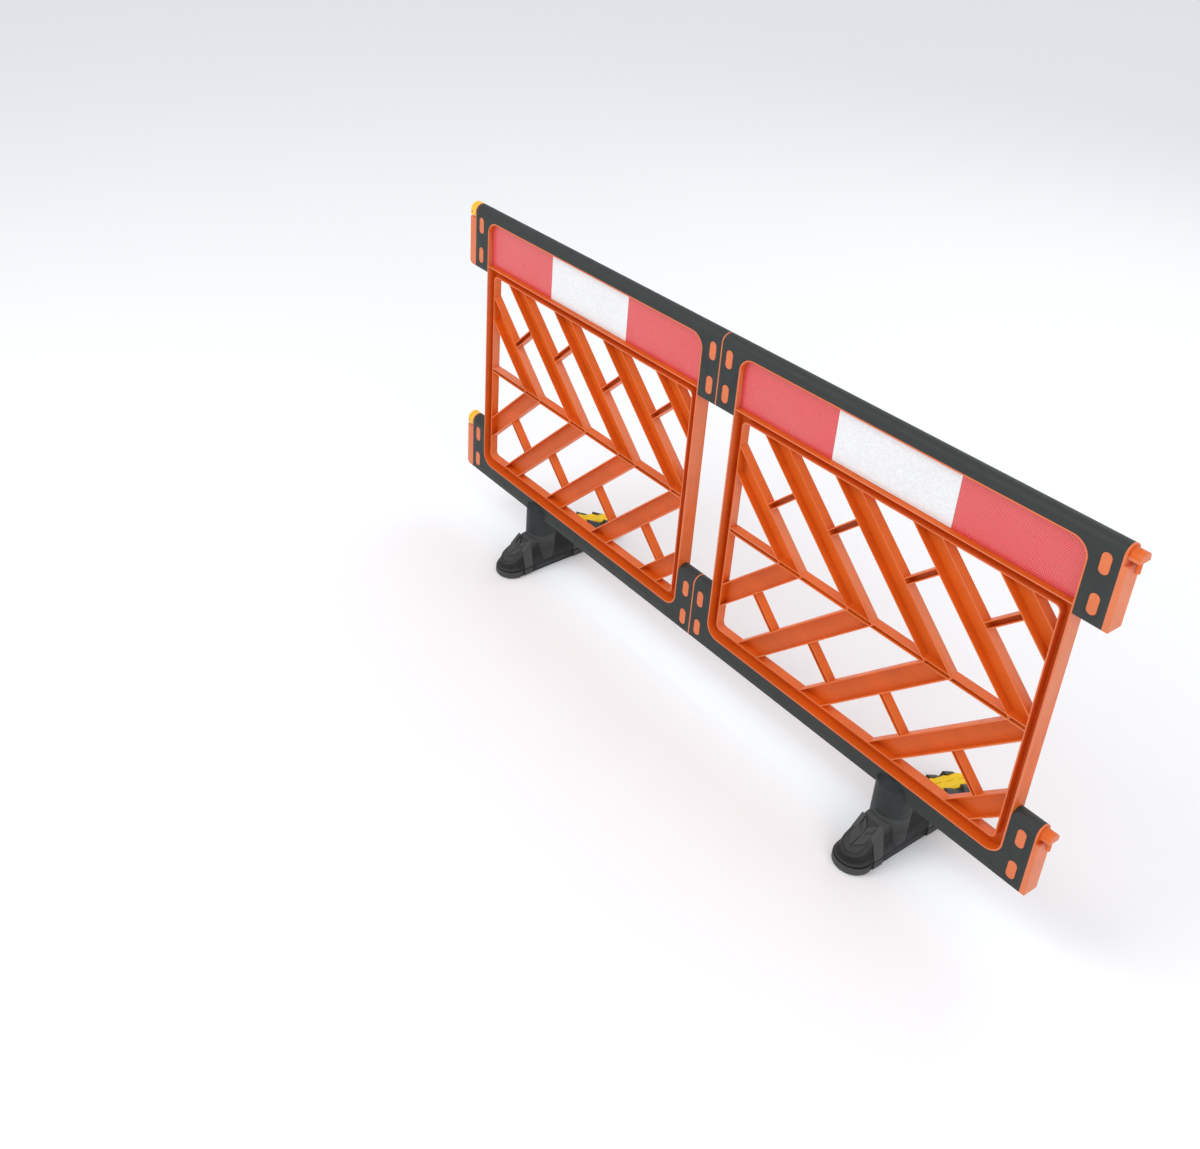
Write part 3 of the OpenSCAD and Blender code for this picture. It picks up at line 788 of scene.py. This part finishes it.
class BARRIER_OT_strips(bpy.types.Operator):
    """Make the red and white reflective sheets"""
    bl_idname = "barrier.strips"
    bl_label = "Reflective strips"

    def execute(self, context):
        edge = settings().moulding.small_edge
        for face in ("front", "back"):
            for side in SIDES:
                for tone in ("red", "white"):
                    moulded_copy(f"strip_{face}_{side}_{tone}", "panel", f"{tone}_sheet",
                                 material(f"sheet_{tone}"), edge)
        return {"FINISHED"}


class BARRIER_OT_sockets(bpy.types.Operator):
    """Make the yokes that hold the feet to the bottom rail, and their locks"""
    bl_idname = "barrier.sockets"
    bl_label = "Foot sockets"

    def execute(self, context):
        edge = settings().moulding.fitting_edge
        for side in SIDES:
            moulded_copy(f"socket_{side}", "panel", "dark_plastic", material("dark_cap"), edge)
            moulded_copy(f"foot_lock_{side}", f"foot_lock_{side}", "black_plastic",
                         material("black_lock"), edge)
        return {"FINISHED"}


class BARRIER_OT_feet(bpy.types.Operator):
    """Make the rubber feet and their tread pads"""
    bl_idname = "barrier.feet"
    bl_label = "Feet"

    def execute(self, context):
        for side in SIDES:
            build_foot(side, material("foot_rubber"))
            build_stub_tread(side, material("foot_rubber"))
            build_tread_pad(side, material("tread_yellow"))
        return {"FINISHED"}


class BARRIER_OT_latches(bpy.types.Operator):
    """Make the yellow link latches"""
    bl_idname = "barrier.latches"
    bl_label = "Link latches"

    def execute(self, context):
        edge = settings().moulding.small_edge
        for level in LEVELS:
            moulded_copy(f"latch_{level}", f"latch_{level}", "yellow_plastic",
                         material("latch_yellow"), edge)
        return {"FINISHED"}


class BARRIER_OT_hardware(bpy.types.Operator):
    """Make the bolts, washers and cross pins"""
    bl_idname = "barrier.hardware"
    bl_label = "Hardware"

    def execute(self, context):
        edge = settings().moulding.small_edge
        for side in SIDES:
            for piece in ("pivot_bolt", "pivot_washer"):
                moulded_copy(f"{piece}_{side}", "panel", "zinc_steel", material("zinc"), edge)
        for level in LEVELS:
            moulded_copy(f"latch_pin_{level}", f"latch_{level}", "zinc_steel",
                         material("zinc"), edge)
        return {"FINISHED"}


def area_light(name, place, size, power):
    """A square soft light that points at the middle of the panel."""
    aim = Vector((0.0, 0.0, 0.5))
    data = bpy.data.lights.new(name, "AREA")
    data.energy = power
    data.size = size
    lamp = bpy.data.objects.new(name, data)
    lamp.location = place
    lamp.rotation_euler = (aim - Vector(place)).to_track_quat("-Z", "Y").to_euler()
    bpy.context.scene.collection.objects.link(lamp)


def add_floor():
    """A wide flat floor just under the feet."""
    half_side = 30.0
    gap = 0.0006
    builder = bmesh.new()
    bmesh.ops.create_grid(builder, x_segments=8, y_segments=8, size=half_side)
    floor = new_object("studio_floor", builder, material("floor"))
    floor.location.z = CAD_BOX[0].z - gap


def add_sky(scene, studio):
    """An even, slightly cool light from all round."""
    cool_white = (0.93, 0.96, 1.0, 1.0)
    world = bpy.data.worlds.new("Studio")
    world.use_nodes = True
    background = world.node_tree.nodes["Background"]
    background.inputs["Color"].default_value = cool_white
    background.inputs["Strength"].default_value = studio.sky
    scene.world = world


def add_camera(scene, studio):
    """The camera, made the scene's own."""
    data = bpy.data.cameras.new("Camera")
    data.lens = studio.lens
    data.sensor_width = 36.0
    data.shift_x, data.shift_y = studio.shift
    camera = bpy.data.objects.new("Camera", data)
    camera.location = studio.place
    camera.rotation_euler = (studio.tilt, 0.0, studio.heading)
    scene.collection.objects.link(camera)
    scene.camera = camera


class BARRIER_OT_stage(bpy.types.Operator):
    """Set up the floor, the lights and the camera"""
    bl_idname = "barrier.stage"
    bl_label = "Stage"

    def execute(self, context):
        studio = settings().studio
        add_floor()
        add_sky(context.scene, studio)
        area_light("Key light", (1.6, 3.2, 4.4), 2.6, studio.key)
        area_light("Fill light", (-3.4, 1.2, 2.4), 2.2, studio.fill)
        area_light("Front light", (0.6, -3.6, 3.2), 2.4, studio.fill)
        add_camera(context.scene, studio)
        context.scene.view_settings.view_transform = "Standard"
        return {"FINISHED"}


class BARRIER_PT_panel(bpy.types.Panel):
    """Sidebar panel with every building step"""
    bl_idname = "BARRIER_PT_panel"
    bl_label = "Pedestrian Barrier"
    bl_space_type = "VIEW_3D"
    bl_region_type = "UI"
    bl_category = "Barrier"

    def draw(self, context):
        column = self.layout.column(align=True)
        for step in STEPS:
            column.operator(step.bl_idname)
        for group in ("moulding", "foot", "strip", "finish", "studio"):
            box = self.layout.box()
            values = getattr(context.scene.barrier, group)
            for name in values.__annotations__:
                box.prop(values, name)


STEPS = (BARRIER_OT_windows, BARRIER_OT_caps, BARRIER_OT_link_ends, BARRIER_OT_strips,
         BARRIER_OT_sockets, BARRIER_OT_feet, BARRIER_OT_latches, BARRIER_OT_hardware,
         BARRIER_OT_stage)
GROUPS = (MouldingSizes, FootSizes, StripSizes, Finishes, StudioSettings, BarrierSettings)


def register():
    for group in GROUPS:
        bpy.utils.register_class(group)
    bpy.types.Scene.barrier = PointerProperty(type=BarrierSettings)
    for step in STEPS:
        bpy.utils.register_class(step)
    bpy.utils.register_class(BARRIER_PT_panel)


def unregister():
    bpy.utils.unregister_class(BARRIER_PT_panel)
    for step in reversed(STEPS):
        bpy.utils.unregister_class(step)
    del bpy.types.Scene.barrier
    for group in reversed(GROUPS):
        bpy.utils.unregister_class(group)


def main():
    """Builds every piece."""
    register()
    for step in STEPS:
        category, name = step.bl_idname.split(".")
        getattr(getattr(bpy.ops, category), name)()


if __name__ == "__main__":
    main()
